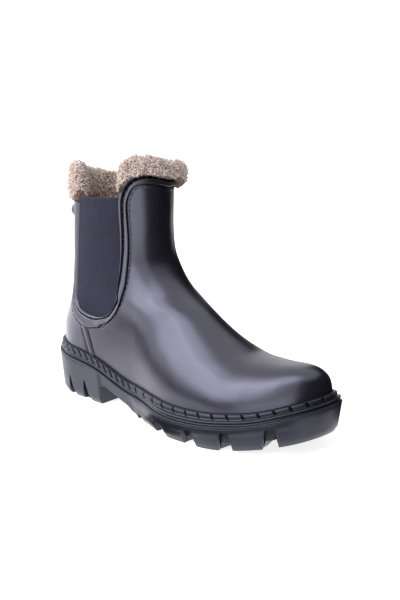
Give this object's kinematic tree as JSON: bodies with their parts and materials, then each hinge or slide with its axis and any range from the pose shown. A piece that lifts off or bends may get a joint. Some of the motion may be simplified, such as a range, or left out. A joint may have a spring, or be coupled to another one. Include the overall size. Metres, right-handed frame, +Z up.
{
  "type": "ankle boot",
  "caption": "Right ankle-high pull-on rubber boot with a lug sole, stitched welt rib, elastic side gussets and a thick fleece lining that rolls over the collar.",
  "frame": {"origin": "middle of the outsole's box, on the ground under the tread", "axes": "+X from the heel to the toe, +Y to the inner side of a right foot, +Z up"},
  "size_m": [0.292, 0.1102, 0.2296],
  "materials": {
    "rubber_upper": "satin moulded rubber, soft highlights",
    "rubber_sole": "satin to matte moulded rubber",
    "elastic": "ribbed woven elastic, matte",
    "fleece": "short curled pile, matte",
    "board": "pressed fibre board, matte",
    "foam": "closed-cell foam, matte"
  },
  "bodies": {
    "boot": {"vamp": "rubber_upper", "heel_counter": "rubber_upper", "side_seam_strip_outer": "rubber_upper", "side_seam_strip_inner": "rubber_upper", "gusset_trim_outer": "rubber_upper", "gusset_trim_inner": "rubber_upper", "collar_band": "rubber_upper", "outsole": "rubber_sole", "welt": "rubber_sole", "welt_rib": "rubber_sole", "elastic_gusset_outer": "elastic", "elastic_gusset_inner": "elastic", "footbed_fleece": "fleece", "foot_lining": "fleece", "gusset_lining_outer": "fleece", "gusset_lining_inner": "fleece", "fleece_collar_front": "fleece", "insole_board": "board", "footbed": "foam"},
    "strap": {"back_strap": "rubber_upper", "strap_trim_outer": "rubber_upper", "strap_trim_inner": "rubber_upper", "strap_lining": "fleece", "fleece_collar_rear": "fleece", "rear_stud": "rubber_upper"}
  },
  "joints": [
    {"name": "strap_lean", "type": "hinge", "parent": "boot", "child": "strap", "pos_m": [-0.1286, -0.0031, 0.096], "axis": [0, -1, 0], "range_deg": [0, 8], "stiffness_Nm_per_rad": 2, "deforming": ["elastic_gusset_outer", "elastic_gusset_inner"]}
  ]
}
